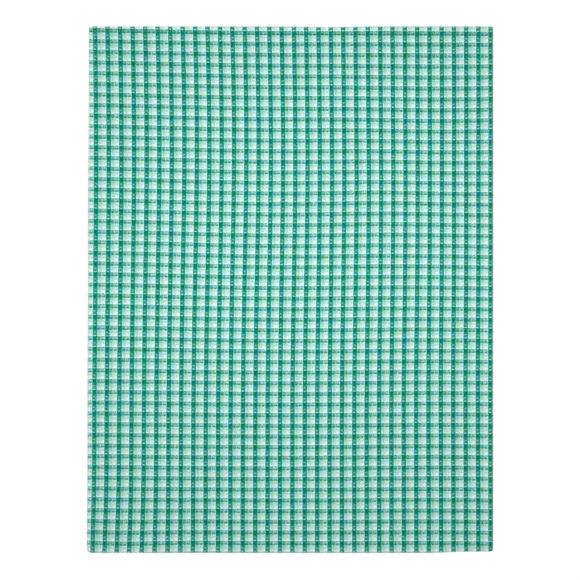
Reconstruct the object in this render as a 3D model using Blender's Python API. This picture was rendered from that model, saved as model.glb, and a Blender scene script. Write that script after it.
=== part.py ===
"""Tea towel of checked waffle cloth, lying flat with its face up.

A towel like this is one cut length of cloth with its four edges turned under twice and sewn
down. The cloth and its hems are therefore one closed solid, thicker at the hems, with rounded
folded edges, slightly wavy sides and softened corners, as it lies after smoothing by hand.

Frame, in metres: X across the width, Y along the length, Z up. The origin is under the middle
of the cloth, on the surface that it lies on, and the underside is flat at Z = 0.
"""

import math

import bmesh
import bpy

# Driving dimensions
WIDTH = 0.501  # across the widest place, about 50 cm when new
LENGTH = 0.650
CLOTH_THICKNESS = 0.0018  # over the crests of the waffle
HEM_THICKNESS = 0.0028  # three pressed layers
HEM_WIDTH = 0.0085
STITCH_INSET = 0.0068  # the row of stitches runs this far inside the folded edge
STITCH_HEIGHT = 0.0020  # the cloth's height where the stitches pull it down

# How closely the points stand
BODY_SPACING = 0.014
HEM_INSETS = (0.0, 0.0005, 0.0018, 0.0042, STITCH_INSET, HEM_WIDTH, 0.0115)

# Height of the cloth at each of those insets: round fold, flat hem, stitches, step down, body
HEM_HEIGHTS = (
    HEM_THICKNESS * 0.50,
    HEM_THICKNESS * 0.88,
    HEM_THICKNESS,
    HEM_THICKNESS,
    STITCH_HEIGHT,
    HEM_THICKNESS * 0.82,
    CLOTH_THICKNESS,
)
# The fold's lower half: how far each row of points lies inside the edge, and its height
FOLD_UNDERSIDE = (
    (0.0004, HEM_THICKNESS * 0.16),
    (0.0010, 0.0),
)

# The edges as they lie: the most that each is drawn in from a straight line
LEFT_LEAN = 0.0026  # the left side leans in towards the top
LEFT_WAVE = 0.0003
TOP_DIP = 0.0009  # a shallow dip right of the middle of the top edge
TOP_DIP_AT = 0.045
TOP_DIP_REACH = 0.032
BOTTOM_RISE = 0.0014  # the bottom edge lifts near its right end
BOTTOM_RISE_FROM = 0.195
BOTTOM_RISE_REACH = 0.008
CORNER_RADIUS = {
    ("left", "top"): 0.0045,
    ("right", "top"): 0.0040,
    ("left", "bottom"): 0.0065,
    ("right", "bottom"): 0.0050,
}

# Soft swells and hollows left after smoothing: place, reach each way, and share of the height
SWELLS = (
    # x, y, reach_x, reach_y, rise
    (-0.170, 0.215, 0.045, 0.060, 0.14),
    (-0.060, 0.120, 0.080, 0.050, -0.10),
    (0.115, 0.205, 0.070, 0.045, 0.10),
    (0.190, 0.040, 0.040, 0.090, -0.09),
    (0.020, -0.030, 0.100, 0.060, 0.08),
    (-0.165, -0.110, 0.050, 0.080, -0.10),
    (0.085, -0.190, 0.080, 0.050, 0.11),
    (-0.060, -0.260, 0.060, 0.035, -0.09),
)
# The stitching draws the hems into low ripples
RIPPLE_LENGTH = 0.047
RIPPLE_RISE = 0.05
RIPPLE_DRIFT = 1.7  # makes neighbouring ripples unequal

MINT_GREEN = (0.28, 0.60, 0.51, 1.0)
COTTON_ROUGHNESS = 0.9


def remove_everything():
    """Starts from an empty scene."""
    for old in list(bpy.data.objects):
        bpy.data.objects.remove(old, do_unlink=True)


def rows_of_points(half):
    """Places of the rows of points across a cloth of this half size, closer at the hems."""
    body = half - HEM_INSETS[-1]
    steps = round(2 * body / BODY_SPACING)
    inner = [body * (2 * k / steps - 1) for k in range(1, steps)]
    edge = [half - inset for inset in HEM_INSETS]
    return [-place for place in edge] + inner + edge[::-1]


def height_at(inset):
    """The cloth's height this far inside its edge."""
    for k in range(1, len(HEM_INSETS)):
        if inset <= HEM_INSETS[k]:
            share = (inset - HEM_INSETS[k - 1]) / (HEM_INSETS[k] - HEM_INSETS[k - 1])
            return HEM_HEIGHTS[k - 1] + share * (HEM_HEIGHTS[k] - HEM_HEIGHTS[k - 1])
    return CLOTH_THICKNESS


def spread_cloth():
    """The cloth's face as a grid of rows, raised to its height."""
    columns = rows_of_points(WIDTH / 2)
    rows = rows_of_points(LENGTH / 2)
    cloth = bmesh.new()
    across = len(columns) - 1
    along = len(rows) - 1
    bmesh.ops.create_grid(cloth, x_segments=across, y_segments=along, size=0.5)
    for point in cloth.verts:
        x = columns[round((point.co.x + 0.5) * across)]
        y = rows[round((point.co.y + 0.5) * along)]
        inset = min(WIDTH / 2 - abs(x), LENGTH / 2 - abs(y))
        point.co = (x, y, height_at(inset))
    return cloth


def turn_edge_under(cloth):
    """Carries the folded edge round and under, and closes the flat underside."""
    ring = [edge for edge in cloth.edges if edge.is_boundary]
    for inset, height in FOLD_UNDERSIDE:
        made = bmesh.ops.extrude_edge_only(cloth, edges=ring)["geom"]
        for point in (item for item in made if isinstance(item, bmesh.types.BMVert)):
            point.co.x = math.copysign(min(abs(point.co.x), WIDTH / 2 - inset), point.co.x)
            point.co.y = math.copysign(min(abs(point.co.y), LENGTH / 2 - inset), point.co.y)
            point.co.z = height
        ring = [item for item in made if isinstance(item, bmesh.types.BMEdge)]
    bmesh.ops.remove_doubles(cloth, verts=cloth.verts, dist=0.00001)
    bmesh.ops.edgeloop_fill(cloth, edges=[edge for edge in cloth.edges if edge.is_boundary])
    bmesh.ops.recalc_face_normals(cloth, faces=cloth.faces)


def round_corner(x, y):
    """Draws a point in a corner's square into that corner's quarter circle."""
    side = "left" if x < 0 else "right"
    end = "bottom" if y < 0 else "top"
    radius = CORNER_RADIUS[side, end]
    out_x = (abs(x) - (WIDTH / 2 - radius)) / radius
    out_y = (abs(y) - (LENGTH / 2 - radius)) / radius
    if out_x <= 0 or out_y <= 0:
        return x, y
    round_x = out_x * math.sqrt(1 - out_y * out_y / 2)
    round_y = out_y * math.sqrt(1 - out_x * out_x / 2)
    new_x = WIDTH / 2 - radius + radius * round_x
    new_y = LENGTH / 2 - radius + radius * round_y
    return math.copysign(new_x, x), math.copysign(new_y, y)


def edges_as_they_lie(x, y):
    """Moves a point with the nearest edges, which are drawn in a little here and there."""
    from_right = 0.5 - x / WIDTH
    from_bottom = 0.5 + y / LENGTH
    left = LEFT_LEAN * from_bottom
    left += LEFT_WAVE * math.sin(3 * math.pi * from_bottom) ** 2
    dip = (x - TOP_DIP_AT) / TOP_DIP_REACH
    top = TOP_DIP * math.exp(-dip * dip)
    lift = (x - BOTTOM_RISE_FROM) / BOTTOM_RISE_REACH
    bottom = BOTTOM_RISE / (1 + math.exp(-lift))
    new_x = x + left * from_right
    new_y = y - top * from_bottom + bottom * (1 - from_bottom)
    return new_x, new_y


def unevenness(x, y):
    """How much higher or lower the cloth stands here than if it were pressed quite flat."""
    rise = 0.0
    for at_x, at_y, reach_x, reach_y, height in SWELLS:
        far = ((x - at_x) / reach_x) ** 2 + ((y - at_y) / reach_y) ** 2
        rise += height * math.exp(-far)
    inset = min(WIDTH / 2 - abs(x), LENGTH / 2 - abs(y))
    along = (x + y) / RIPPLE_LENGTH * 2 * math.pi
    ripple = math.sin(along + RIPPLE_DRIFT * math.sin(along / math.e))
    return rise + RIPPLE_RISE * ripple * math.exp(-max(inset, 0.0) / HEM_WIDTH)


def lay_on_table(cloth):
    """Gives the square-cut cloth the outline and the soft unevenness that it lies in."""
    for point in cloth.verts:
        x, y = round_corner(point.co.x, point.co.y)
        z = point.co.z * (1 + unevenness(x, y))
        x, y = edges_as_they_lie(x, y)
        point.co = (x, y, z)


def cotton():
    """The middle colour of the green and white check."""
    material = bpy.data.materials.new("checked_cotton")
    material.use_nodes = True
    shader = material.node_tree.nodes["Principled BSDF"]
    shader.inputs["Base Color"].default_value = MINT_GREEN
    shader.inputs["Roughness"].default_value = COTTON_ROUGHNESS
    shader.inputs["Metallic"].default_value = 0.0
    return material


def towel_cloth():
    """The towel as one solid."""
    cloth = spread_cloth()
    turn_edge_under(cloth)
    lay_on_table(cloth)
    mesh = bpy.data.meshes.new("towel_cloth")
    cloth.to_mesh(mesh)
    cloth.free()
    mesh.materials.append(cotton())
    mesh.shade_smooth()
    towel = bpy.data.objects.new("towel_cloth", mesh)
    bpy.context.scene.collection.objects.link(towel)
    return towel


remove_everything()
towel_cloth()
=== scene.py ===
# %% [markdown]
# # A tea towel of green and white checked waffle cotton
#
# The real thing is one cut length of yarn-dyed waffle cloth, with its four edges turned under
# twice and sewn. It lies flat, face up, after smoothing by hand. The solid of the part gives its
# size and thickness; here it gets its waffle, its check, its sewing and its light.

import functools
import math
import random

import bmesh
import bpy
from mathutils import Matrix, Vector, noise
from mathutils.bvhtree import BVHTree


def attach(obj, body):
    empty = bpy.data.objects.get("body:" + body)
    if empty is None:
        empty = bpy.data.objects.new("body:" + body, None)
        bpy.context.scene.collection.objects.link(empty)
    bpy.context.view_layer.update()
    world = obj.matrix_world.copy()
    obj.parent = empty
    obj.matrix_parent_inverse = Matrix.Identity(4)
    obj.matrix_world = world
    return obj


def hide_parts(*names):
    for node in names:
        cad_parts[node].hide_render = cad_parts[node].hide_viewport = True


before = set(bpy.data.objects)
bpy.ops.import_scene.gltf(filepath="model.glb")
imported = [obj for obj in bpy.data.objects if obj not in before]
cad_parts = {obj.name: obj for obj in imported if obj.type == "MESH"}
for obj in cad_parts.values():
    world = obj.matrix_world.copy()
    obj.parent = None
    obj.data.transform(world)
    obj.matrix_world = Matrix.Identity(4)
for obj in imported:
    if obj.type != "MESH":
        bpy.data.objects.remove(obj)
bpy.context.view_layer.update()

# %% [markdown]
# ## The cloth's sizes
#
# A scene works in metres and a weaver in millimetres, so one named factor turns one into the
# other. The width and length are those of the finished, hemmed cloth.

# %% Sizes of the finished cloth
MM = 0.001
WIDTH = 501 * MM
LENGTH = 650 * MM
CLOTH_THICKNESS = 1.8 * MM  # over the crests of the waffle
HEM_WIDTH = 8.5 * MM
STITCH_INSET = 6.8 * MM  # the seam runs this far inside the folded edge
FACE_INSET = 2.0 * MM  # the face ends here, and the fold goes on from it
print("flat size", WIDTH, "by", LENGTH)

# %% [markdown]
# ## The waffle's cells
#
# Waffle weave floats its yarns over each other in a rectangle of ridges round a sunken pit. The
# warp floats make the ridges that run up the cloth and the weft floats the ones that cross it.
# The check repeats every three cells each way. Every place on the cloth is counted in cells:
# whole numbers are ridges, and a half is the middle of a pit.

# %% Cells of the waffle
CELL_ACROSS = 5.07 * MM
CELL_ALONG = 4.37 * MM
RIDGE_ACROSS = -3.15 * MM  # one warp ridge and one weft ridge, measured from the middle
RIDGE_ALONG = -0.66 * MM
CELLS_IN_CHECK = 3


def cells_at(threads_x, threads_y):
    """A place along the threads, in metres, as a count of cells each way."""
    across = (threads_x - RIDGE_ACROSS) / CELL_ACROSS
    along = (threads_y - RIDGE_ALONG) / CELL_ALONG
    return across, along


print("cells in the cloth:", round(WIDTH / CELL_ACROSS), "by", round(LENGTH / CELL_ALONG))

# %% [markdown]
# ## How the threads lie
#
# A check drawn on straight lines would look printed. On real cloth the threads bow and slant by a
# few millimetres, because washing and the hems pull at them. Here that is an overall slant and
# ten soft pulls, each with a place, a reach and the way that it draws the threads. The numbers
# were not chosen by hand. A least-squares fit to the photo gave them, in another program.

# %% The slant and the pulls
LIE_START = (2.81 * MM, 1.40 * MM)  # where the middle threads lie, right and up
LIE_OVER_X = (0.50 * MM, -2.62 * MM)  # added towards the right-hand edge
LIE_OVER_Y = (-0.34 * MM, 0.08 * MM)  # added towards the top edge
PULLS = (
    # x, y, reach, then how far right and how far up, all in mm
    (-207, -332, 59, -2.7, -2.4),
    (126, 18, 117, 1.3, 1.6),
    (167, 216, 86, 0.6, -2.6),
    (-59, 174, 196, 3.6, -3.3),
    (208, -227, 164, 0.3, 3.3),
    (-218, 39, 176, 1.15, 2.1),
    (106, 132, 72, 0.6, 1.5),
    (-142, 234, 167, 1.5, 0.2),
    (210, -95, 138, -0.5, 1.4),
    (153, 330, 109, 0.9, 1.2),
)


def shift_of_threads(x, y):
    """How far the threads lie from where straight ones would, at this place."""
    share_x = x / (WIDTH / 2)
    share_y = y / (LENGTH / 2)
    shift_x = LIE_START[0] + LIE_OVER_X[0] * share_x + LIE_OVER_Y[0] * share_y
    shift_y = LIE_START[1] + LIE_OVER_X[1] * share_x + LIE_OVER_Y[1] * share_y
    for at_x, at_y, reach, right, up in PULLS:
        far = ((x / MM - at_x) ** 2 + (y / MM - at_y) ** 2) / reach**2
        pull = math.exp(-far) * MM
        shift_x += right * pull
        shift_y += up * pull
    return shift_x, shift_y


def threads_at(x, y):
    """Which threads lie at a place on the table. Each round comes closer to the answer."""
    threads_x, threads_y = x, y
    for _ in range(3):
        shift_x, shift_y = shift_of_threads(threads_x, threads_y)
        threads_x, threads_y = x - shift_x, y - shift_y
    return threads_x, threads_y


print("the middle threads lie", shift_of_threads(0, 0), "from the middle of the cloth")

# %% [markdown]
# ## The outline
#
# The hemmed edges are nearly straight, with soft corners. The solid of the part has the same
# rounding and the same small wanderings of its edges, so the same short formulas are used here,
# and the two outlines run side by side all the way round.

# %% Edges and corners as they lie
LEFT_LEAN = 2.6 * MM  # the left side leans in towards the top
LEFT_WAVE = 0.3 * MM
TOP_DIP = 0.9 * MM  # a shallow dip right of the middle of the top edge
TOP_DIP_AT = 45 * MM
TOP_DIP_REACH = 32 * MM
BOTTOM_RISE = 1.4 * MM  # the bottom edge lifts near its right end
BOTTOM_RISE_FROM = 195 * MM
BOTTOM_RISE_REACH = 8 * MM
CORNER_RADIUS = {
    ("left", "top"): 4.5 * MM,
    ("right", "top"): 4.0 * MM,
    ("left", "bottom"): 6.5 * MM,
    ("right", "bottom"): 5.0 * MM,
}


def round_corner(x, y):
    """Draws a point in a corner's square into that corner's quarter circle."""
    side = "left" if x < 0 else "right"
    end = "bottom" if y < 0 else "top"
    radius = CORNER_RADIUS[side, end]
    out_x = (abs(x) - (WIDTH / 2 - radius)) / radius
    out_y = (abs(y) - (LENGTH / 2 - radius)) / radius
    if out_x <= 0 or out_y <= 0:
        return x, y
    round_x = out_x * math.sqrt(1 - out_y * out_y / 2)
    round_y = out_y * math.sqrt(1 - out_x * out_x / 2)
    new_x = WIDTH / 2 - radius + radius * round_x
    new_y = LENGTH / 2 - radius + radius * round_y
    return math.copysign(new_x, x), math.copysign(new_y, y)


def edges_as_they_lie(x, y):
    """Moves a point with the nearest edges, which are drawn in a little here and there."""
    from_right = 0.5 - x / WIDTH
    from_bottom = 0.5 + y / LENGTH
    left = LEFT_LEAN * from_bottom
    left += LEFT_WAVE * math.sin(3 * math.pi * from_bottom) ** 2
    dip = (x - TOP_DIP_AT) / TOP_DIP_REACH
    top = TOP_DIP * math.exp(-dip * dip)
    lift = (x - BOTTOM_RISE_FROM) / BOTTOM_RISE_REACH
    bottom = BOTTOM_RISE / (1 + math.exp(-lift))
    new_x = x + left * from_right
    new_y = y - top * from_bottom + bottom * (1 - from_bottom)
    return new_x, new_y


def square_cut(x, y):
    """The way back: where a point on the table is on the cloth's square cut."""
    cut_x, cut_y = x, y
    for _ in range(3):
        lying_x, lying_y = edges_as_they_lie(cut_x, cut_y)
        cut_x, cut_y = cut_x + x - lying_x, cut_y + y - lying_y
    return cut_x, cut_y


print("the top left corner lies at", edges_as_they_lie(*round_corner(-WIDTH / 2, LENGTH / 2)))

# %% [markdown]
# ## Thickness
#
# The height of the face comes from three things: the layers under it, the relief of the waffle,
# and the slight swells that smoothing by hand leaves. The hem is three layers, which the seam
# draws down in a groove. On the underside the turned-in flap ends in a small step.

# %% Layers at the hem
FACE_PROFILE = (
    # inset from the folded edge, height of the face, both in mm
    (0.0, 1.40),
    (0.5, 2.46),
    (1.8, 2.80),  # three pressed layers
    (4.2, 2.80),
    (6.8, 2.00),
    (8.5, 2.30),
    (11.5, 1.80),
)
FLAP_STEP = (8.5 * MM, 9.0 * MM)  # the flap under the hem ends between these insets
FLAP_LIFT = 0.5 * MM  # the single cloth stands this much off the table there
FLAP_SETTLES = 12 * MM
HALF_GROOVE = 0.5 * MM
SEAM_GROOVE = (STITCH_INSET - HALF_GROOVE, STITCH_INSET + HALF_GROOVE)  # the seam, seen from below
SEAM_LIFT = 0.5 * MM
SNAP = 0.1 * MM  # a point this near to the groove is taken to lie in it


def layers_at(inset):
    """The height of the face's crests this far inside the edge."""
    for (near, low), (far, high) in zip(FACE_PROFILE, FACE_PROFILE[1:]):
        if inset <= far * MM:
            share = (inset / MM - near) / (far - near)
            return (low + share * (high - low)) * MM
    return CLOTH_THICKNESS


def lift_at(inset):
    """How far the underside stands off the table this far inside the edge."""
    if SEAM_GROOVE[0] - SNAP < inset < SEAM_GROOVE[1] + SNAP:
        return SEAM_LIFT
    if inset < sum(FLAP_STEP) / 2:
        return 0.0
    return FLAP_LIFT * math.exp(-max(inset - FLAP_STEP[1], 0.0) / FLAP_SETTLES)


print("face height at the seam:", layers_at(STITCH_INSET))

# %% [markdown]
# Cosines are the simplest waffle: one across, one along, and their product. With the values
# below, the middle of each float is highest, the ridges cross a little lower, and the pit is
# lowest. Pressed hems are shallower. Noise keeps any two cells from being the same.

# %% Relief of the waffle
RELIEF_MEAN = -0.275 * MM
RELIEF_RIDGE = 0.175 * MM
RELIEF_CROSSING = -0.275 * MM
HEM_RELIEF = 0.6  # the share of it that is left on the hems, and at their edge
EDGE_RELIEF = 0.25
HEM_FADES = 4 * MM  # inside the hem, the full relief is back after this much
UNDER_RELIEF = 0.8 * MM
UNDER_GROWS = 25 * MM  # the back's relief takes this much to reach its full depth
LUMPS = 0.07 * MM
LUMP_CELLS = 1.3  # a lump is about this many cells long


def pressed_at(inset):
    """The share of the waffle's relief that is left this far inside the edge."""
    if inset < HEM_WIDTH:
        return EDGE_RELIEF + (HEM_RELIEF - EDGE_RELIEF) * min(inset / FACE_INSET, 1.0)
    return HEM_RELIEF + (1 - HEM_RELIEF) * min((inset - HEM_WIDTH) / HEM_FADES, 1.0)


def face_height(inset, across, along):
    """The face over the table: layers, waffle and lumps."""
    warp = math.cos(2 * math.pi * across)
    weft = math.cos(2 * math.pi * along)
    relief = RELIEF_MEAN + RELIEF_RIDGE * (warp + weft) + RELIEF_CROSSING * warp * weft
    lumps = LUMPS * noise.noise(Vector((across, along, 0)) / LUMP_CELLS)
    return layers_at(inset) + pressed_at(inset) * (relief + lumps)


def under_height(inset, across, along):
    """The underside over the table. It is sunken where the face has its ridges."""
    warp = 1 + math.cos(2 * math.pi * across)
    weft = 1 + math.cos(2 * math.pi * along)
    room = min(max(inset - FACE_INSET, 0.0) / UNDER_GROWS, 1.0)
    return lift_at(inset) + UNDER_RELIEF * room * warp * weft / 4


MIDDLE = WIDTH / 2  # far inside the hems
print("a pit is", face_height(MIDDLE, 0, 0.5) - face_height(MIDDLE, 0.5, 0.5), "m deep")

# %% [markdown]
# The swells are the solid's own: a place, a reach each way and a share of the height. The seam
# draws the hems into low ripples as well.

# %% Swells and ripples
SWELLS = (
    # x, y, reach across and reach along, all in metres, then the rise as a share of the height
    (-0.170, 0.215, 0.045, 0.060, 0.14),
    (-0.060, 0.120, 0.080, 0.050, -0.10),
    (0.115, 0.205, 0.070, 0.045, 0.10),
    (0.190, 0.040, 0.040, 0.090, -0.09),
    (0.020, -0.030, 0.100, 0.060, 0.08),
    (-0.165, -0.110, 0.050, 0.080, -0.10),
    (0.085, -0.190, 0.080, 0.050, 0.11),
    (-0.060, -0.260, 0.060, 0.035, -0.09),
)
RIPPLE_LENGTH = 47 * MM
RIPPLE_RISE = 0.05
RIPPLE_DRIFT = 1.7  # makes neighbouring ripples unequal


def unevenness(x, y):
    """How much higher or lower the cloth stands here than if it were pressed quite flat."""
    rise = 0.0
    for at_x, at_y, reach_x, reach_y, height in SWELLS:
        far = ((x - at_x) / reach_x) ** 2 + ((y - at_y) / reach_y) ** 2
        rise += height * math.exp(-far)
    inset = min(WIDTH / 2 - abs(x), LENGTH / 2 - abs(y))
    along = (x + y) / RIPPLE_LENGTH * 2 * math.pi
    ripple = math.sin(along + RIPPLE_DRIFT * math.sin(along / math.e))
    return rise + RIPPLE_RISE * ripple * math.exp(-max(inset, 0.0) / HEM_WIDTH)


print("the highest swell lifts the cloth by", CLOTH_THICKNESS * unevenness(*SWELLS[0][:2]), "m")

# %% [markdown]
# ## From cells to the table
#
# A grid whose points fall on the ridges and in the pits needs only two steps for each cell. But
# the cloth is not cut along a ridge, so the last few rows slide along the threads until the
# outermost one lies on the edge. The slide is worked out once for each row and column.

# %% Where the grid meets the edges
SLIDE_CELLS = 3  # the rows nearer to an edge than this slide


def cut_place(across, along):
    """A place counted in cells, on the cloth's square cut, before any sliding."""
    threads_x = RIDGE_ACROSS + across * CELL_ACROSS
    threads_y = RIDGE_ALONG + along * CELL_ALONG
    shift_x, shift_y = shift_of_threads(threads_x, threads_y)
    return square_cut(threads_x + shift_x, threads_y + shift_y)


def nearest_pit_lines(x, y):
    """The pit lines nearest to a place, each a whole number of cells and a half."""
    return [math.floor(cells) + 0.5 for cells in cells_at(*threads_at(x, y))]


REACH_X = WIDTH / 2 - FACE_INSET
REACH_Y = LENGTH / 2 - FACE_INSET
first_across = nearest_pit_lines(-REACH_X, 0)[0]
last_across = nearest_pit_lines(REACH_X, 0)[0]
first_along = nearest_pit_lines(0, -REACH_Y)[1]
last_along = nearest_pit_lines(0, REACH_Y)[1]
CELLS_WIDE = round(last_across - first_across)
CELLS_LONG = round(last_along - first_along)
print("the grid has", CELLS_WIDE, "by", CELLS_LONG, "cells")

# %% The slide of each row and column
HALF_ROWS = range(2 * CELLS_LONG + 1)
HALF_COLUMNS = range(2 * CELLS_WIDE + 1)
slide_left = [-REACH_X - cut_place(first_across, first_along + r / 2)[0] for r in HALF_ROWS]
slide_right = [REACH_X - cut_place(last_across, first_along + r / 2)[0] for r in HALF_ROWS]
slide_down = [-REACH_Y - cut_place(first_across + c / 2, first_along)[1] for c in HALF_COLUMNS]
slide_up = [REACH_Y - cut_place(first_across + c / 2, last_along)[1] for c in HALF_COLUMNS]


def slid_place(column, row):
    """A grid point on the square cut. Column and row are counted in half cells."""
    across = column / 2
    along = row / 2
    x, y = cut_place(first_across + across, first_along + along)
    x += slide_left[row] * max(1 - across / SLIDE_CELLS, 0)
    x += slide_right[row] * max(1 - (CELLS_WIDE - across) / SLIDE_CELLS, 0)
    y += slide_down[column] * max(1 - along / SLIDE_CELLS, 0)
    y += slide_up[column] * max(1 - (CELLS_LONG - along) / SLIDE_CELLS, 0)
    return x, y


slides = slide_left + slide_right + slide_down + slide_up
print("the edge rows slide by up to", max(abs(slide) for slide in slides), "m")

# %% [markdown]
# One function lays any point of the square cut on the table. It rounds the corners, bends the
# edges, and asks which threads lie there, because the relief and the colours follow the threads.
# The threads are kept on each point, and become the pattern's map at the end. The place on the
# square cut is kept too, because the fold goes on from it. Two more numbers say how fuzzy the
# cloth is at the point and how much wear, painted light and painted shade it has beside the fold,
# which the material reads.

# %% Laying a point
cloth = bmesh.new()
threads = cloth.verts.layers.float_vector.new("threads")
cut = cloth.verts.layers.float_vector.new("cut")
FUZZ_NAME, WEAR_LIGHT_AND_SHADE_NAME = "fuzz", "wear_light_and_shade"
fuzz = cloth.verts.layers.float.new(FUZZ_NAME)
wear_light_and_shade = cloth.verts.layers.float.new(WEAR_LIGHT_AND_SHADE_NAME)


def lay(point, cut_x, cut_y, height):
    """Lays a point; height gives how high it is, from its inset and its place in cells."""
    inset = min(WIDTH / 2 - abs(cut_x), LENGTH / 2 - abs(cut_y))
    round_x, round_y = round_corner(cut_x, cut_y)
    x, y = edges_as_they_lie(round_x, round_y)
    point[threads] = (*threads_at(x, y), 0)
    across, along = cells_at(*point[threads][:2])
    z = height(inset, across, along) * (1 + unevenness(round_x, round_y))
    point.co = (x, y, z)


def grid_of_cells(steps):
    """A grid over the whole cloth, its points counted in half cells. Returns the points."""
    made = bmesh.ops.create_grid(
        cloth, x_segments=steps * CELLS_WIDE, y_segments=steps * CELLS_LONG, size=1
    )["verts"]
    for point in made:
        point.co.x = (point.co.x + 1) * CELLS_WIDE
        point.co.y = (point.co.y + 1) * CELLS_LONG
    return made


layers = cloth.verts.layers
print("kept on each point:", layers.float_vector.keys() + layers.float.keys())

# %% [markdown]
# ## The underside
#
# The back of a waffle is its face turned over: it touches the table under the pits and is sunken
# under the ridges. One face for each cell is enough, with a point poked up in its middle. Its
# outermost edges are split in two, so that they fit the finer grid of the face. Four cuts along
# each side then give the seam its groove and the end of the turned-in flap its edge. A cut stops
# short of the edges at its two ends, because it would add points there that the face doesn't have.

# %% Make the underside
grid_of_cells(1)
bmesh.ops.poke(cloth, faces=cloth.faces)
outermost = [edge for edge in cloth.edges if edge.is_boundary]
bmesh.ops.subdivide_edges(cloth, edges=outermost, cuts=1)
for point in cloth.verts:
    x, y = slid_place(round(point.co.x), round(point.co.y))
    point.co = (x, y, 0)
ON_THE_CUT = 0.05 * MM  # a point this near to a cut is taken to lie on it


def short_of(stop, axis):
    """The faces, edges and points of the cloth that don't reach this far along an axis."""
    faces = [
        face
        for face in cloth.faces
        if all(abs(point.co[axis]) < stop - ON_THE_CUT for point in face.verts)
    ]
    edges = {edge for face in faces for edge in face.edges}
    points = {point for face in faces for point in face.verts}
    return [*faces, *edges, *points]


for inset in SEAM_GROOVE + FLAP_STEP:
    for side in (-1, 1):
        for axis, size, stop in ((0, WIDTH, REACH_Y), (1, LENGTH, REACH_X)):
            out = Vector((1 - axis, axis, 0))
            bmesh.ops.bisect_plane(
                cloth,
                geom=short_of(stop, 1 - axis),
                dist=ON_THE_CUT,
                plane_co=side * (size / 2 - inset) * out,
                plane_no=out,
            )
for point in cloth.verts:
    lay(point, point.co.x, point.co.y, under_height)
under_points = set(cloth.verts)
print("the underside has", len(cloth.faces), "faces")

# %% [markdown]
# ## The face and the folded edge
#
# The face is the same grid with two steps for each cell. Its outermost points lie beside the
# fold, where the cloth is rubbed, most at its two ends. So they keep a share of wear, painted
# light and painted shade, and a little fuzz, and both die away towards the next row.

# %% Make the face
FUZZ_BESIDE_FOLD = 0.04  # the share of broken fibres where the fold begins
WEAR_LIGHT_AND_SHADE_BESIDE_FOLD = {"left": 0.5, "right": 0.3, "top": 1.0, "bottom": 1.0}  # shares of full wear, painted light and painted shade


def side_of(x, y):
    """The edge that a point of the square cut lies nearest to."""
    if LENGTH / 2 - abs(y) <= WIDTH / 2 - abs(x):
        return "bottom" if y < 0 else "top"
    return "left" if x < 0 else "right"


face_points = grid_of_cells(2)
for point in face_points:
    x, y = slid_place(round(point.co.x), round(point.co.y))
    point[cut] = (x, y, 0)
    lay(point, x, y, face_height)
ring = [edge for edge in cloth.edges if edge.is_boundary and edge.verts[0] not in under_points]
for point in {point for edge in ring for point in edge.verts}:
    point[fuzz] = FUZZ_BESIDE_FOLD
    point[wear_light_and_shade] = WEAR_LIGHT_AND_SHADE_BESIDE_FOLD[side_of(*point[cut][:2])]
print("the face has", len(face_points), "points and", len(ring), "edges round it")

# %% [markdown]
# The outermost edges are then extruded four times: out over the fold, to the edge, and back
# under. The yarns make the fold slightly scalloped, one scallop for each cell. The fold comes out
# a little inside the solid's outline, by as much as makes the rim match the photo. Merging joins
# the last row to the underside.

# %% Turn the edge under
FOLD = (
    # inset from the edge, height, depth of the scallops, cloth that the bend hides, all in mm
    (0.35, 2.20, 0.12, 0.1),
    (0.0, 1.40, 0.22, 0.7),
    (0.35, 0.45, 0.12, 0.1),
    (FACE_INSET / MM, 0.0, 0.0, 0.0),  # back under the face's edge, where the underside starts
)
FOLD_FUZZ = 0.25  # the share of broken fibres on the fold
SHRUNK_ACROSS = 0.5  # how far inside each edge comes out, in mm
SHRUNK_ALONG = 1.15
TOUCHING = 0.01 * MM  # places this near to each other are the same


def way_out(place, reach):
    """Which way is out: 1 or -1 on the face's last row, and 0 for any other place."""
    if abs(place) < reach - TOUCHING:
        return 0
    return math.copysign(1, place)


for inset, height, scallop, hidden in FOLD:
    made = bmesh.ops.extrude_edge_only(cloth, edges=ring)["geom"]
    for point in (item for item in made if isinstance(item, bmesh.types.BMVert)):
        x, y, _ = point[cut]
        out = Vector((way_out(x, REACH_X), way_out(y, REACH_Y), 0))
        across, along = cells_at(*point[threads][:2])
        beside = along if out.x else across
        inset_here = inset + scallop * (1 - math.cos(2 * math.pi * beside)) / 2
        x += out.x * max(FACE_INSET - (inset_here + SHRUNK_ACROSS) * MM, 0)
        y += out.y * max(FACE_INSET - (inset_here + SHRUNK_ALONG) * MM, 0)
        lay(point, x, y, lambda *_: height * MM)
        point[threads] += out * hidden * MM
        point[fuzz] = FOLD_FUZZ if height else 0.0
        point[wear_light_and_shade] = 0.0
    ring = [item for item in made if isinstance(item, bmesh.types.BMEdge)]
bmesh.ops.remove_doubles(cloth, verts=cloth.verts, dist=TOUCHING)
bmesh.ops.recalc_face_normals(cloth, faces=cloth.faces)
open_edges = [edge for edge in cloth.edges if not edge.is_manifold]
print("open edges:", len(open_edges), "volume in cm3:", round(cloth.calc_volume() * 1e6, 1))

# %% [markdown]
# ## The pattern's map
#
# A UV map that is measured along the threads lets the check bend with them. The map runs from 0
# to 1 over the whole cloth, and the underside shares it, since the yarns go right through.

# %% Write the map
all_x, all_y, _ = zip(*(point[threads] for point in cloth.verts))
low_x, high_x = min(all_x), max(all_x)
low_y, high_y = min(all_y), max(all_y)
PATTERN_MAP = "OFBake"  # the name of the pattern's map, which the materials read
pattern = cloth.loops.layers.uv.new(PATTERN_MAP)
for face in cloth.faces:
    for corner in face.loops:
        x, y, _ = corner.vert[threads]
        corner[pattern].uv = ((x - low_x) / (high_x - low_x), (y - low_y) / (high_y - low_y))
layers.float_vector.remove(cut)
layers.float_vector.remove(layers.float_vector["threads"])
print("the map is", high_x - low_x, "by", high_y - low_y, "m of threads")

# %% [markdown]
# A bmesh is only a shape. One function gives it a mesh and an object in the scene, at the origin.
# Before that, the cloth's surface is kept for the seam, which needs to know its real height.


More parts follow.
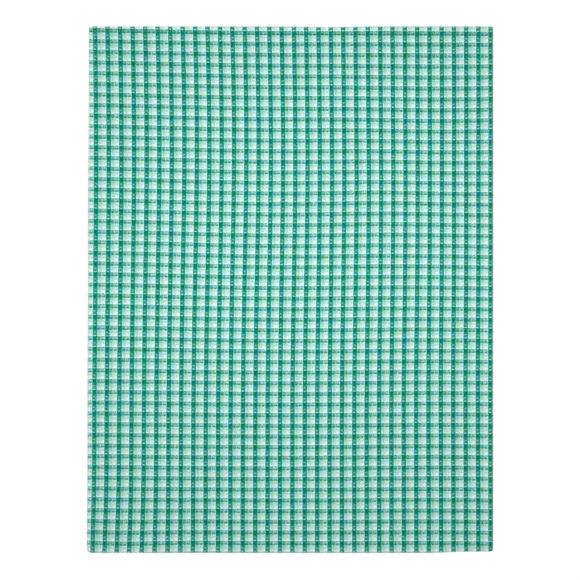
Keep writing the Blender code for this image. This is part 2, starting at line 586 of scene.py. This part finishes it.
# %% Make the cloth an object
def make_piece(shape, name):
    """Turns a finished bmesh into a smooth-shaded object with its place in its mesh."""
    mesh = bpy.data.meshes.new(name)
    shape.to_mesh(mesh)
    shape.free()
    mesh.shade_smooth()
    piece = bpy.data.objects.new(name, mesh)
    bpy.context.scene.collection.objects.link(piece)
    mesh.calc_loop_triangles()
    print(name, "has", len(mesh.loop_triangles), "triangles")
    return piece


surface = BVHTree.FromBMesh(cloth)
waffle_cloth = make_piece(cloth, "waffle_cloth")

# %% [markdown]
# ## The seam
#
# A lockstitch seam holds the hem, turning at each corner. Both sides of the cloth show the same
# row of short lengths of thread, each going into a needle hole at both ends. A curve along the
# edge would look like a cord lying on the cloth, so one stitch is modelled and repeated. It is a
# small hexagon, spun through part of a turn, with its ends drawn in where the holes grip it.

# %% One stitch
THREAD_WIDTH = 0.38 * MM
STITCH_LENGTH = 3.0 * MM
HOLE_WIDTH = 0.3 * MM
THREAD_SIDES = 6
SPAN = STITCH_LENGTH - HOLE_WIDTH
ARC = math.radians(100)
ARC_RADIUS = SPAN / 2 / math.sin(ARC / 2)
ARC_RISE = ARC_RADIUS * (1 - math.cos(ARC / 2))
arc_centre = Vector((0, 0, -ARC_RADIUS * math.cos(ARC / 2)))
stitch = bmesh.new()
bmesh.ops.create_circle(stitch, segments=THREAD_SIDES, radius=THREAD_WIDTH / 2)
bmesh.ops.rotate(stitch, matrix=Matrix.Rotation(math.pi / 2, 3, "Y"), verts=stitch.verts)
bmesh.ops.translate(stitch, vec=(0, 0, ARC_RISE), verts=stitch.verts)
bmesh.ops.rotate(
    stitch, cent=arc_centre, matrix=Matrix.Rotation(-ARC / 2, 3, "Y"), verts=stitch.verts
)
bmesh.ops.spin(
    stitch, geom=[*stitch.verts, *stitch.edges], cent=arc_centre, axis=(0, 1, 0), angle=ARC, steps=4
)
print("one stitch has", len(stitch.faces), "faces and rises", ARC_RISE, "m")

# %% [markdown]
# A map along and round the thread lets its twist follow the stitch. Where the map comes round to
# its start, the last strip of faces ends at 1 instead of 0.

# %% The map of the stitch, and its ends
stitch_map = stitch.loops.layers.uv.new(PATTERN_MAP)
for face in stitch.faces:
    corners = []
    for corner in face.loops:
        from_centre = corner.vert.co - arc_centre
        turned = math.atan2(from_centre.x, from_centre.z) / ARC + 0.5
        outward_by = math.hypot(from_centre.x, from_centre.z) - ARC_RADIUS
        strip = round(math.atan2(from_centre.y, outward_by) / (2 * math.pi) * THREAD_SIDES)
        corners.append((corner, turned, strip % THREAD_SIDES / THREAD_SIDES))
    comes_round = max(c[2] for c in corners) - min(c[2] for c in corners) > 0.5
    for corner, turned, round_thread in corners:
        if comes_round and round_thread == 0:
            round_thread = 1.0
        corner[stitch_map].uv = (min(max(turned, 0), 1), round_thread)
END_SIZE = 0.3  # the holes grip the ends to this share of their width
NEAR_END = 0.4 * SPAN  # only the end rings lie further than this from the middle
for side in (-1, 1):
    end_ring = [point for point in stitch.verts if point.co.x * side > NEAR_END]
    end_middle = sum((point.co for point in end_ring), Vector()) / len(end_ring)
    bmesh.ops.scale(
        stitch, vec=(END_SIZE,) * 3, space=Matrix.Translation(-end_middle), verts=end_ring
    )
bmesh.ops.holes_fill(stitch, edges=[edge for edge in stitch.edges if edge.is_boundary])
bmesh.ops.recalc_face_normals(stitch, faces=stitch.faces)
stitch_shape = bpy.data.meshes.new("stitch")
stitch.to_mesh(stitch_shape)
stitch.free()
print("closed, it has", len(stitch_shape.polygons), "faces")

# %% [markdown]
# The needle holes follow the hem at an even distance. No machine feeds cloth quite evenly, so
# each hole strays a little, by random numbers that come out the same each time.

# %% The needle holes
STRAY_ALONG = 0.12 * MM
STRAY_ACROSS = 0.07 * MM
strays = random.Random(11)  # any fixed start will do
SEAM_X = WIDTH / 2 - STITCH_INSET
SEAM_Y = LENGTH / 2 - STITCH_INSET
seam_corners = [(-SEAM_X, SEAM_Y), (SEAM_X, SEAM_Y), (SEAM_X, -SEAM_Y), (-SEAM_X, -SEAM_Y)]
holes = []
for start, end in zip(seam_corners, seam_corners[1:] + seam_corners[:1]):
    start, end = Vector(start), Vector(end)
    side_length = (end - start).length
    along_side = (end - start) / side_length
    across_side = along_side.orthogonal()
    for k in range(round(side_length / STITCH_LENGTH)):
        hole = start.lerp(end, k / round(side_length / STITCH_LENGTH))
        hole += along_side * strays.uniform(-STRAY_ALONG, STRAY_ALONG)
        hole += across_side * strays.uniform(-STRAY_ACROSS, STRAY_ACROSS)
        holes.append(Vector(edges_as_they_lie(*hole)))
print("the seam has", len(holes), "holes")

# %% [markdown]
# A ray sent down from above, or up from the table, finds the cloth's real height at each hole
# and between holes. The stitch is then set on those heights, so that it neither floats nor sinks.

# %% Sew the seam
SUNK = 0.12 * MM  # how far inside the cloth the ends of a stitch lie
PROUD = 0.13 * MM  # how far its middle line stands out of the cloth
LEAST_RISE = 0.2 * MM
FAR = 0.05  # the rays start this far from the table


def surface_at(place, outward_z):
    """The cloth's surface at a place, on the side that faces outward_z."""
    start = Vector((place.x, place.y, FAR * outward_z))
    return surface.ray_cast(start, Vector((0, 0, -outward_z)))[0].z


seam = bmesh.new()
for outward_z in (1, -1):
    for hole, next_hole in zip(holes, holes[1:] + holes[:1]):
        gap = (next_hole - hole).normalized() * HOLE_WIDTH / 2
        ends = []
        for place in (hole + gap, next_hole - gap):
            height = surface_at(place, outward_z) - SUNK * outward_z
            ends.append(Vector((place.x, place.y, height)))
        middle = (ends[0] + ends[1]) / 2
        crest = surface_at(middle, outward_z) + PROUD * outward_z
        rise = max((crest - middle.z) * outward_z, LEAST_RISE)
        if outward_z < 0:
            rise = min(rise, middle.z - THREAD_WIDTH / 2)
        along_stitch = (ends[1] - ends[0]).normalized()
        side_way = Vector((0, 0, outward_z)).cross(along_stitch).normalized()
        up_way = along_stitch.cross(side_way)
        turn = Matrix((along_stitch, side_way, up_way)).transposed().to_4x4()
        stretch = Matrix.Diagonal(((ends[1] - ends[0]).length / SPAN, 1, rise / ARC_RISE, 1))
        points_before = len(seam.verts)
        seam.from_mesh(stitch_shape)
        seam.verts.ensure_lookup_table()
        for point in seam.verts[points_before:]:
            point.co = Matrix.Translation(middle) @ turn @ stretch @ point.co
hem_stitches = make_piece(seam, "hem_stitches")
bpy.data.meshes.remove(stitch_shape)
print("the seam reaches down to", min(point.co.z for point in hem_stitches.data.vertices), "m")

# %% [markdown]
# ## Colours
#
# Yarn colours are written as they look on a screen. They began by eye and were then fitted to the
# photo by another program, as were the places and shares of warp and weft further down. Blender
# mixes light in linear numbers, so one function turns a hex colour into those.

# %% Colours of the yarns
def linear(hex_colour):
    """A colour such as "#74c8b4" as linear red, green, blue and alpha."""
    parts = [int(hex_colour[i : i + 2], 16) / 255 for i in (1, 3, 5)]
    return (*(p / 12.92 if p <= 0.04045 else ((p + 0.055) / 1.055) ** 2.4 for p in parts), 1.0)


GREEN = linear("#007663")
BRIGHT_MINT = linear("#89f4e0")
SAGE = linear("#96b6a6")
PALE_SAGE = linear("#c9ded3")
WARM_WHITE = linear("#ebe6e1")
AQUA_WHITE = linear("#ccfcf9")
PALE_TEAL = linear("#acd8d3")
SOFT_TEAL = linear("#4ec6b5")
print("green in linear numbers:", GREEN)

# %% [markdown]
# A material is a tree of nodes. One small function adds any kind of node, with its settings and
# its links. Two more start a material and fill in a colour ramp.


# %% A helper that adds a node
def add_node(material, kind, inputs=None, **settings):
    """Adds a node with its settings, and gives each input named a value or a link."""
    tree = material.node_tree
    node = tree.nodes.new("ShaderNode" + kind)
    for name, value in settings.items():
        setattr(node, name, value)
    for name, value in (inputs or {}).items():
        if isinstance(value, bpy.types.Node):
            value = value.outputs[0]
        if isinstance(value, bpy.types.NodeSocket):
            tree.links.new(value, node.inputs[name])
        else:
            node.inputs[name].default_value = value
    return node


def new_material(name):
    """A material with its shader, which is its only node so far."""
    material = bpy.data.materials.new(name)
    material.use_nodes = True
    return material, material.node_tree.nodes["Principled BSDF"]


def set_stops(node, stops):
    """Gives a colour ramp its stops: place, colour and alpha."""
    ramp = node.color_ramp
    while len(ramp.elements) < len(stops):
        ramp.elements.new(0.5)
    for element, (place, colour, alpha) in zip(ramp.elements, stops):
        element.position = place
        element.color = (*colour[:3], alpha)


print("made: add_node, new_material and set_stops")

# %% [markdown]
# ## Yarn-dyed cotton
#
# Cotton that is dyed as yarn and woven as a waffle gives the eye a soft, matt cloth, with colours
# in small dots that mix from a distance. So the colour is a matter of which yarn shows. The warp
# and the weft each have one cell of green to two cells of lighter shades. Which of the two shows
# depends on the place in the cell: weft on the ridges across, warp on the ridges along. Counting
# cells from the map gives that place.

# %% Cells from the map
cotton, cotton_shader = new_material("yarn_dyed_cotton_waffle")
in_cotton = functools.partial(add_node, cotton)  # add_node, with the material filled in
low_across, low_along = cells_at(low_x, low_y)
high_across, high_along = cells_at(high_x, high_y)
cotton_map = in_cotton("UVMap", uv_map=PATTERN_MAP)
map_start = (low_across, low_along, 0)
map_size = (high_across - low_across, high_along - low_along, 1)
straight_cells = in_cotton(
    "Mapping", {"Vector": cotton_map, "Location": map_start, "Scale": map_size}
)
WANDER = 0.06  # hand-smoothed yarns wander by about this share of a cell
WANDERS_IN_CELL = 1.1
wander = in_cotton("TexNoise", {"Vector": straight_cells, "Scale": WANDERS_IN_CELL, "Detail": 1.0})
wander_middle = in_cotton(
    "VectorMath",
    {0: wander.outputs["Color"], 1: (WANDER, WANDER, 0), 2: (-WANDER / 2, -WANDER / 2, 0)},
    operation="MULTIPLY_ADD",
)
cells = in_cotton("VectorMath", {0: straight_cells, 1: wander_middle}, operation="ADD")
cell_place = in_cotton("SeparateXYZ", {0: cells})
print("cells on the map:", map_size[:2])

# %% [markdown]
# A colour ramp holds the order of the yarns over one check, as a weaver's warping plan does. Its
# alpha marks the green yarns, which saves a second ramp.

# %% The order of the yarns
GREEN_FROM_ACROSS = 0.04  # the green stripe starts this far right of a warp ridge, in cells
GREEN_FROM_ALONG = -0.286  # the green band starts this far below a weft ridge
GREEN_CELLS_ACROSS = 1.065  # how wide the green is
GREEN_CELLS_ALONG = 1.20
CHANGE = 0.02  # colour changes over this share of a check, about one yarn


def yarn_order(place, start, green_cells, light_shades):
    """The colour of the yarn at a place counted in cells."""
    checks = in_cotton(
        "Math",
        {0: place, 1: 1 / CELLS_IN_CHECK, 2: -start / CELLS_IN_CHECK},
        operation="MULTIPLY_ADD",
    )
    share = in_cotton("Math", {0: checks}, operation="FRACT")
    order = in_cotton("ValToRGB", {0: share})
    green_end = green_cells / CELLS_IN_CHECK
    light_start = green_end + CHANGE / 2
    light_width = 1 - CHANGE - light_start
    stops = [(0.0, GREEN, 1.0), (green_end - CHANGE / 2, GREEN, 1.0)]
    for along_light, shade in light_shades:
        stops.append((light_start + along_light * light_width, shade, 0.0))
    stops.append((1.0, GREEN, 1.0))
    set_stops(order, stops)
    return order


WARP_LIGHT = (
    # how far across the light cells, and the shade there
    (0.0, BRIGHT_MINT),
    (0.25, SAGE),
    (0.5, PALE_SAGE),
    (0.75, WARM_WHITE),
    (1.0, AQUA_WHITE),
)
WEFT_LIGHT = ((0.0, AQUA_WHITE), (0.5, PALE_TEAL), (0.85, SOFT_TEAL), (1.0, BRIGHT_MINT))
warp = yarn_order(cell_place.outputs["X"], GREEN_FROM_ACROSS, GREEN_CELLS_ACROSS, WARP_LIGHT)
weft = yarn_order(cell_place.outputs["Y"], GREEN_FROM_ALONG, GREEN_CELLS_ALONG, WEFT_LIGHT)
print("stops in the warp's ramp:", len(warp.color_ramp.elements))

# %% [markdown]
# A triangle wave folds the count of cells into a distance: 0 on a ridge, a half in the middle
# between two. From the distances come four soft masks: the ridges across, the ridges along, the
# middles of the floats, and the ring of short floats that goes round each pit.

# %% Places in a cell
from_ridge_x = in_cotton("Math", {0: cell_place.outputs["X"], 1: 0.5}, operation="PINGPONG")
from_ridge_y = in_cotton("Math", {0: cell_place.outputs["Y"], 1: 0.5}, operation="PINGPONG")
MASKS = (
    # the distance that a mask reads, and where it is empty and full, in cells
    (from_ridge_y, 0.24, 0.02),
    (from_ridge_x, 0.234, 0.10),
    (from_ridge_x, 0.045, 0.5),
)
ridge_across, ridge_along, float_middle = [
    in_cotton(
        "MapRange",
        {"Value": distance, "From Min": empty, "From Max": full},
        interpolation_type="SMOOTHSTEP",
    )
    for distance, empty, full in MASKS
]
cell_share = in_cotton("VectorMath", {0: cells}, operation="FRACTION")
from_pit = in_cotton(
    "VectorMath", {0: cell_share, 1: (0.5, 0.5, 0)}, operation="DISTANCE"
).outputs["Value"]
BLACK, WHITE = (0, 0, 0), (1, 1, 1)
RING_RADIUS = 0.33  # in cells, from the middle of the pit
RING_REACH = 0.15
pit_ring = in_cotton("ValToRGB", {0: from_pit})
ring_start, ring_end = RING_RADIUS - RING_REACH, RING_RADIUS + RING_REACH
set_stops(pit_ring, ((ring_start, BLACK, 1.0), (RING_RADIUS, WHITE, 1.0), (ring_end, BLACK, 1.0)))
pit_ring.color_ramp.interpolation = "EASE"
print("nodes so far:", len(cotton.node_tree.nodes))

# %% [markdown]
# Yarn is never quite even. Each yarn has thicker and thinner lengths, which noise that is drawn
# out along the yarn gives. The yarns are only about 0.6 mm apart, too fine to show in the render,
# so their streaks are drawn coarser, 0.7 to 0.85 mm wide. Where the weft's noise is the stronger
# one, the weft comes to the face, and elsewhere the warp does, so the two cross over and under.

# %% Streaks of warp and weft
STREAKS_ACROSS_YARN = 6.0  # in a cell
STREAKS_ALONG_YARN = 1.6


def slubs_of(streaks_x, streaks_y):
    """Noise drawn out along a yarn, by how many of its streaks fill a cell each way."""
    stretched = in_cotton(
        "VectorMath", {0: straight_cells, 1: (streaks_x, streaks_y, 1)}, operation="MULTIPLY"
    )
    return in_cotton(
        "TexNoise", {"Vector": stretched, "Scale": 1.0, "Detail": 1.0, "Roughness": 0.6}
    )


warp_slubs = slubs_of(STREAKS_ACROSS_YARN, STREAKS_ALONG_YARN)
weft_slubs = slubs_of(STREAKS_ALONG_YARN, STREAKS_ACROSS_YARN)
weft_over_warp = in_cotton("Math", {0: weft_slubs, 1: warp_slubs}, operation="SUBTRACT")
print("a streak of the warp is", CELL_ACROSS / STREAKS_ACROSS_YARN, "m wide")

# %% [markdown]
# Light warp is set open, so the weft shows through it everywhere, most on the ridges across. The
# topmost band shows more of its green weft: painted shade of the seam's crease there. The
# topmost band shows more of its green weft, perhaps packed by the seam. The green stripe is set
# close and covers its weft, except for one float on each ridge, which makes a row of light dots
# up the stripe.

# %% Where the weft shows
# The extra green weft in this band is painted shade of the seam's crease.
TOP_SHADED_BAND = (3.2, 2.8)  # the band begins between these places, in cells below the top edge
band_low, band_high = [high_along - below for below in TOP_SHADED_BAND]
top_band_painted_shade = in_cotton(
    "MapRange", {"Value": cell_place.outputs["Y"], "From Min": band_low, "From Max": band_high}
)
weft_dot = in_cotton("Math", {0: ridge_across, 1: float_middle}, operation="MULTIPLY")
OPEN_SET = 0.385  # the share of its weft that light warp shows everywhere
CLOSE_SET = 0.08  # and the same for the green stripe
WEFT_ON_LIGHT = (
    # a place in the cell, and how much more of the weft shows there
    (ridge_across, 0.47),
    (ridge_along, -0.26),
    (pit_ring, 0.22),
    (top_band_painted_shade, 0.15),
)
WEFT_ON_GREEN = ((weft_dot, 0.99), (pit_ring, 0.07))


def weft_over(everywhere, places):
    """The share of the weft that shows, from the share everywhere and what each place adds."""
    share = everywhere
    for place, more in places:
        share = in_cotton("Math", {0: place, 1: more, 2: share}, operation="MULTIPLY_ADD")
    return share


weft_on_light = weft_over(OPEN_SET, WEFT_ON_LIGHT)
weft_on_green = weft_over(CLOSE_SET, WEFT_ON_GREEN)
print("nodes so far:", len(cotton.node_tree.nodes))

# %% [markdown]
# The green of the warp chooses between the two shares, and the noise decides from yarn to yarn.

# %% Which yarn shows
INTERLACE = 1.4  # how strongly the noise decides which yarn shows
weft_share = in_cotton("Mix", {0: warp.outputs["Alpha"], 2: weft_on_light, 3: weft_on_green})
weft_shows = in_cotton(
    "Math",
    {0: weft_over_warp, 1: INTERLACE, 2: weft_share},
    operation="MULTIPLY_ADD",
    use_clamp=True,
)
COLOUR_A, COLOUR_B, MIXED_COLOUR = 6, 7, 2  # a Mix node's sockets for colours
woven = in_cotton(
    "Mix",
    {0: weft_shows, COLOUR_A: warp.outputs["Color"], COLOUR_B: weft.outputs["Color"]},
    data_type="RGBA",
).outputs[MIXED_COLOUR]
print("nodes so far:", len(cotton.node_tree.nodes))

# %% [markdown]
# Where a light yarn crosses a green one, green light passes through it and tints it mint. That
# place is where just one of the two yarns is green.

# %% The tint where green shows through
GREEN_TINT = (0.60, 0.98, 0.955, 1.0)  # the shares of red, green and blue that are left
green_difference = in_cotton(
    "Math", {0: warp.outputs["Alpha"], 1: weft.outputs["Alpha"]}, operation="SUBTRACT"
)
one_is_green = in_cotton("Math", {0: green_difference}, operation="ABSOLUTE")
tinted = in_cotton(
    "Mix",
    {0: one_is_green, COLOUR_A: woven, COLOUR_B: GREEN_TINT},
    data_type="RGBA",
    blend_type="MULTIPLY",
).outputs[MIXED_COLOUR]
print("nodes so far:", len(cotton.node_tree.nodes))

# %% [markdown]
# The noise of the yarn on top also lightens and darkens it: its thicker and thinner lengths, and
# painted shade where the yarns dip under each other and in the gaps between them, most on the
# green. Each dye bath takes a little differently too, so a coarser noise moves the colour without
# changing how light it is.

# %% Uneven yarn, and painted shade between the yarns
# This tone is partly the yarn's uneven thickness and partly painted shade where yarns cross and
# between them.
SLUB_AND_SHADE_TONE = 0.65
SLUB_MIDDLE = 0.515  # above a half, because the stronger of two noises shows
GREEN_SLUBS_AND_SHADE = 3.6  # on green the tone counts this many times more: uneven deep dye, and painted shade between yarns
slubs = in_cotton("Mix", {0: weft_shows, 2: warp_slubs, 3: weft_slubs})
green_shows = in_cotton("Mix", {0: weft_shows, 2: warp.outputs["Alpha"], 3: weft.outputs["Alpha"]})
slub_and_shade_strength = in_cotton(
    "Math", {0: green_shows, 1: GREEN_SLUBS_AND_SHADE * SLUB_AND_SHADE_TONE, 2: SLUB_AND_SHADE_TONE}, operation="MULTIPLY_ADD"
)
slubs_middle = in_cotton("Math", {0: slubs, 1: SLUB_MIDDLE}, operation="SUBTRACT")
slub_and_shade_tone = in_cotton("Math", {0: slubs_middle, 1: slub_and_shade_strength, 2: 1.0}, operation="MULTIPLY_ADD")
print("the noise counts", SLUB_AND_SHADE_TONE, "on white,", (1 + GREEN_SLUBS_AND_SHADE) * SLUB_AND_SHADE_TONE, "on green")

# %% Uneven dye
DYE_TONE = (0.68, 0.1, 0.50)  # how much red, green and blue vary, which keeps the light even
DYE_PATCHES_IN_CELL = 0.6
GREEN_DYE = 1.5  # deep dye varies this many times more
dye_strength = in_cotton("Math", {0: green_shows, 1: GREEN_DYE, 2: 1.0}, operation="MULTIPLY_ADD")
dye = in_cotton("TexNoise", {"Vector": straight_cells, "Scale": DYE_PATCHES_IN_CELL, "Detail": 1.0})
dye_middle = in_cotton(
    "VectorMath",
    {0: dye.outputs["Color"], 1: DYE_TONE, 2: [-tone / 2 for tone in DYE_TONE]},
    operation="MULTIPLY_ADD",
)
dye_tone = in_cotton(
    "VectorMath", {0: dye_middle, 1: dye_strength, 2: (1, 1, 1)}, operation="MULTIPLY_ADD"
)
dyed = in_cotton("VectorMath", {0: tinted, 1: dye_tone}, operation="MULTIPLY")
uneven_and_shaded = in_cotton("VectorMath", {0: dyed, "Scale": slub_and_shade_tone}, operation="SCALE")
print("nodes so far:", len(cotton.node_tree.nodes))

# %% [markdown]
# The cloth is greyer beside the fold: faded dye, which lets more red through, with painted light
# on the rim, most at the top end, and painted shade that greys and darkens the rim at the bottom
# end. Multiplying keeps the check clear, where mixing in a grey would blur it.

# %% Wear, painted light and painted shade beside the fold
# The first tint is faded dye with painted light; the second is painted shade at the bottom end.
FADED_AND_PAINTED_LIGHT = (1.5, 1.03, 1.03, 1.0)  # what red, green and blue are multiplied by
BOTTOM_PAINTED_SHADE = (1.15, 0.70, 0.67, 1.0)
SHADE_FROM, SHADE_TO = -0.316, -0.319  # the painted shade begins and is full at these places up the cloth
cotton_place = in_cotton("TexCoord").outputs["Object"]
up_the_cloth = in_cotton("SeparateXYZ", {0: cotton_place}).outputs["Y"]
bottom_shade = in_cotton(
    "MapRange", {"Value": up_the_cloth, "From Min": SHADE_FROM, "From Max": SHADE_TO}
)
wear_light_and_shade_tint = in_cotton(
    "Mix", {0: bottom_shade, COLOUR_A: FADED_AND_PAINTED_LIGHT, COLOUR_B: BOTTOM_PAINTED_SHADE}, data_type="RGBA"
).outputs[MIXED_COLOUR]
wear_light_and_shade_share = in_cotton("Attribute", attribute_name=WEAR_LIGHT_AND_SHADE_NAME)
worn_lit_and_shaded = in_cotton(
    "Mix",
    {0: wear_light_and_shade_share.outputs["Fac"], COLOUR_A: uneven_and_shaded, COLOUR_B: wear_light_and_shade_tint},
    data_type="RGBA",
    blend_type="MULTIPLY",
).outputs[MIXED_COLOUR]
print("wear beside each fold:", WEAR_LIGHT_AND_SHADE_BESIDE_FOLD)

# %% [markdown]
# On the fold itself, broken fibres stand off the cloth as a fuzz. It has hardly any dye left, so
# the outermost millimetre is greyer than the rest.

# %% Fuzz on the fold
FUZZ_GREY = linear("#b9b9b0")
fuzz_share = in_cotton("Attribute", attribute_name=FUZZ_NAME)
fuzzy = in_cotton(
    "Mix", {0: fuzz_share.outputs["Fac"], COLOUR_A: worn_lit_and_shaded, COLOUR_B: FUZZ_GREY}, data_type="RGBA"
).outputs[MIXED_COLOUR]
cotton.node_tree.links.new(fuzzy, cotton_shader.inputs["Base Color"])
print("fuzz beside the fold and on it:", FUZZ_BESIDE_FOLD, FOLD_FUZZ)

# %% [markdown]
# Cotton is matt: its short fibres stand every way, and only a faint sheen shows at a low angle.
# The thicker lengths of a yarn stand higher and lie smoother, so the same noise that colours the
# yarns also gives them their bump and their roughness.

# %% The feel of cotton
YARN_BUMP = 0.2 * MM
YARN_BUMP_STRENGTH = 0.8
COTTON_ROUGHNESS = 0.94
SLUB_SMOOTHNESS = 0.12  # the thickest lengths are smoother by this much
bump = in_cotton("Bump", {"Strength": YARN_BUMP_STRENGTH, "Distance": YARN_BUMP, "Height": slubs})
cotton.node_tree.links.new(bump.outputs[0], cotton_shader.inputs["Normal"])
roughness = in_cotton(
    "Math", {0: slubs, 1: -SLUB_SMOOTHNESS, 2: COTTON_ROUGHNESS}, operation="MULTIPLY_ADD"
)
cotton.node_tree.links.new(roughness.outputs[0], cotton_shader.inputs["Roughness"])
cotton_shader.inputs["Specular IOR Level"].default_value = 0.1
cotton_shader.inputs["Sheen Weight"].default_value = 0.05
cotton_shader.inputs["Sheen Roughness"].default_value = 0.6
waffle_cloth.data.materials.append(cotton)
print("nodes in the cotton:", len(cotton.node_tree.nodes))

# %% [markdown]
# ## Sewing thread
#
# Sewing thread is three plies of cotton twisted together, in a middle mint that hides in the
# check. The map of the stitch runs along and round the thread, so a slanting stripe on it is the
# twist; its darker mint is painted shade in the grooves between the plies. It gives the eye a fine
# rope, a little glossier than the cloth.

# %% Twisted thread
thread, thread_shader = new_material("twisted_cotton_sewing_thread")
PLIES = 3
TURNS = 4  # twists in one stitch, drawn half as many as there are
MINT_THREAD = linear("#93d3c2")
MINT_GROOVE_PAINTED_SHADE = linear("#6fb9a6")
PLY_BUMP = 0.05 * MM
PLY_BUMP_STRENGTH = 0.7
thread_map = add_node(thread, "UVMap", uv_map=PATTERN_MAP)
round_twist = add_node(
    thread, "VectorMath", {0: thread_map, 1: (TURNS, PLIES, 0)}, operation="DOT_PRODUCT"
).outputs["Value"]
ply = add_node(thread, "Math", {0: round_twist, 1: 0.5}, operation="PINGPONG")
ply_colour_and_groove_shade = add_node(thread, "ValToRGB", {0: ply})
# the darker mint where two plies meet is painted shade in the groove
set_stops(ply_colour_and_groove_shade, ((0.0, MINT_GROOVE_PAINTED_SHADE, 1.0), (0.25, MINT_THREAD, 1.0)))
thread.node_tree.links.new(ply_colour_and_groove_shade.outputs[0], thread_shader.inputs["Base Color"])
ply_bump = add_node(
    thread, "Bump", {"Strength": PLY_BUMP_STRENGTH, "Distance": PLY_BUMP, "Height": ply}
)
thread.node_tree.links.new(ply_bump.outputs[0], thread_shader.inputs["Normal"])
thread_shader.inputs["Roughness"].default_value = 0.62
thread_shader.inputs["Specular IOR Level"].default_value = 0.25
hem_stitches.data.materials.append(thread)
print("nodes in the thread:", len(thread.node_tree.nodes))

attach(waffle_cloth, "root")
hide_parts("towel_cloth")
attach(hem_stitches, "root")
print("declared:", waffle_cloth.name, "and", hem_stitches.name)

# %% [markdown]
# ## The room
#
# A plain floor, an even white sky and one broad soft lamp. The floor is matt white paint, which
# gives the eye no gloss and no edge. It should be only just white, so that the cloth's soft
# shadow still shows on it. The lamp lights its middle the most, so the floor gets a glow of its
# own, which is nothing there and grows outwards in an oval.

# %% Floor
FLOOR_SIZE = 20.0  # its end stays out of sight from low angles
floor_shape = bmesh.new()
bmesh.ops.create_grid(floor_shape, x_segments=1, y_segments=1, size=FLOOR_SIZE / 2)
floor = make_piece(floor_shape, "floor")
floor_paint, floor_shader = new_material("matt_white_floor")
floor_shader.inputs["Base Color"].default_value = linear("#f4f4f4")
floor_shader.inputs["Roughness"].default_value = 0.9
floor_shader.inputs["Emission Color"].default_value = (1, 1, 1, 1)

# %% The floor's glow
GLOW = 0.45
GLOW_MIDDLE = 0.0655  # this far up the cloth, where the lamp's light is strongest
GLOW_FROM = 0.19  # it begins this far from there, and is full at GLOW_TO
GLOW_TO = 0.72
GLOW_WIDTH = 0.863  # distances across count for this much, because the lamp is wider than long
floor_place = add_node(floor_paint, "TexCoord").outputs["Object"]
from_middle = add_node(
    floor_paint,
    "VectorMath",
    {0: floor_place, 1: (GLOW_WIDTH, 1, 1), 2: (0, -GLOW_MIDDLE, 0)},
    operation="MULTIPLY_ADD",
)
far_out = add_node(floor_paint, "VectorMath", {0: from_middle}, operation="LENGTH").outputs["Value"]
glow = add_node(
    floor_paint,
    "MapRange",
    {"Value": far_out, "From Min": GLOW_FROM, "From Max": GLOW_TO, "To Max": GLOW},
)
floor_paint.node_tree.links.new(glow.outputs[0], floor_shader.inputs["Emission Strength"])
floor.data.materials.append(floor_paint)
print("nodes in the floor:", len(floor_paint.node_tree.nodes))

# %% [markdown]
# The sky lights the waffle from every side. The lamp hangs over the top end of the cloth, so its
# strength and slant decide how deep the pits look. The standard view transform leaves the yarns'
# colours as they were written down.

# %% Light
SKY_STRENGTH = 0.645
LAMP_SIZE = (0.7, 0.3)
LAMP_POWER = 1.45
LAMP_SPREAD = math.radians(44)
LAMP_PLACE = Vector((0, 0.30, 2.0))
LAMP_TARGET = Vector((0, 0.05, 0))
scene = bpy.context.scene
scene.view_settings.view_transform = "Standard"
sky = bpy.data.worlds.new("studio")
sky.use_nodes = True
sky_light = sky.node_tree.nodes["Background"]
sky_light.inputs["Color"].default_value = (1, 1, 1, 1)
sky_light.inputs["Strength"].default_value = SKY_STRENGTH
scene.world = sky
lamp = bpy.data.lights.new("soft_lamp", "AREA")
lamp.shape = "RECTANGLE"
lamp.size, lamp.size_y = LAMP_SIZE
lamp.energy = LAMP_POWER
lamp.spread = LAMP_SPREAD
lamp_stand = bpy.data.objects.new("soft_lamp", lamp)
lamp_stand.location = LAMP_PLACE
lamp_aim = LAMP_TARGET - lamp_stand.location
lamp_stand.rotation_euler = lamp_aim.to_track_quat("-Z", "Y").to_euler()
scene.collection.objects.link(lamp_stand)
print("the lamp is", lamp_aim.length, "m from the place that it lights")

# %% [markdown]
# A camera that isn't turned looks straight down, which keeps the cloth's sides parallel, as in
# the photo. A long lens looks into all the pits from nearly the same angle.

# %% Camera
CAMERA_PLACE = (0, -0.0005, 1.6865)
LENS = 85  # in mm, for a sensor 36 mm wide
SENSOR = 36
camera = bpy.data.cameras.new("camera")
camera.lens = LENS
camera.sensor_width = SENSOR
camera_stand = bpy.data.objects.new("camera", camera)
camera_stand.location = CAMERA_PLACE
scene.collection.objects.link(camera_stand)
scene.camera = camera_stand
print("the camera sees", CAMERA_PLACE[2] * SENSOR / LENS, "m of the floor")
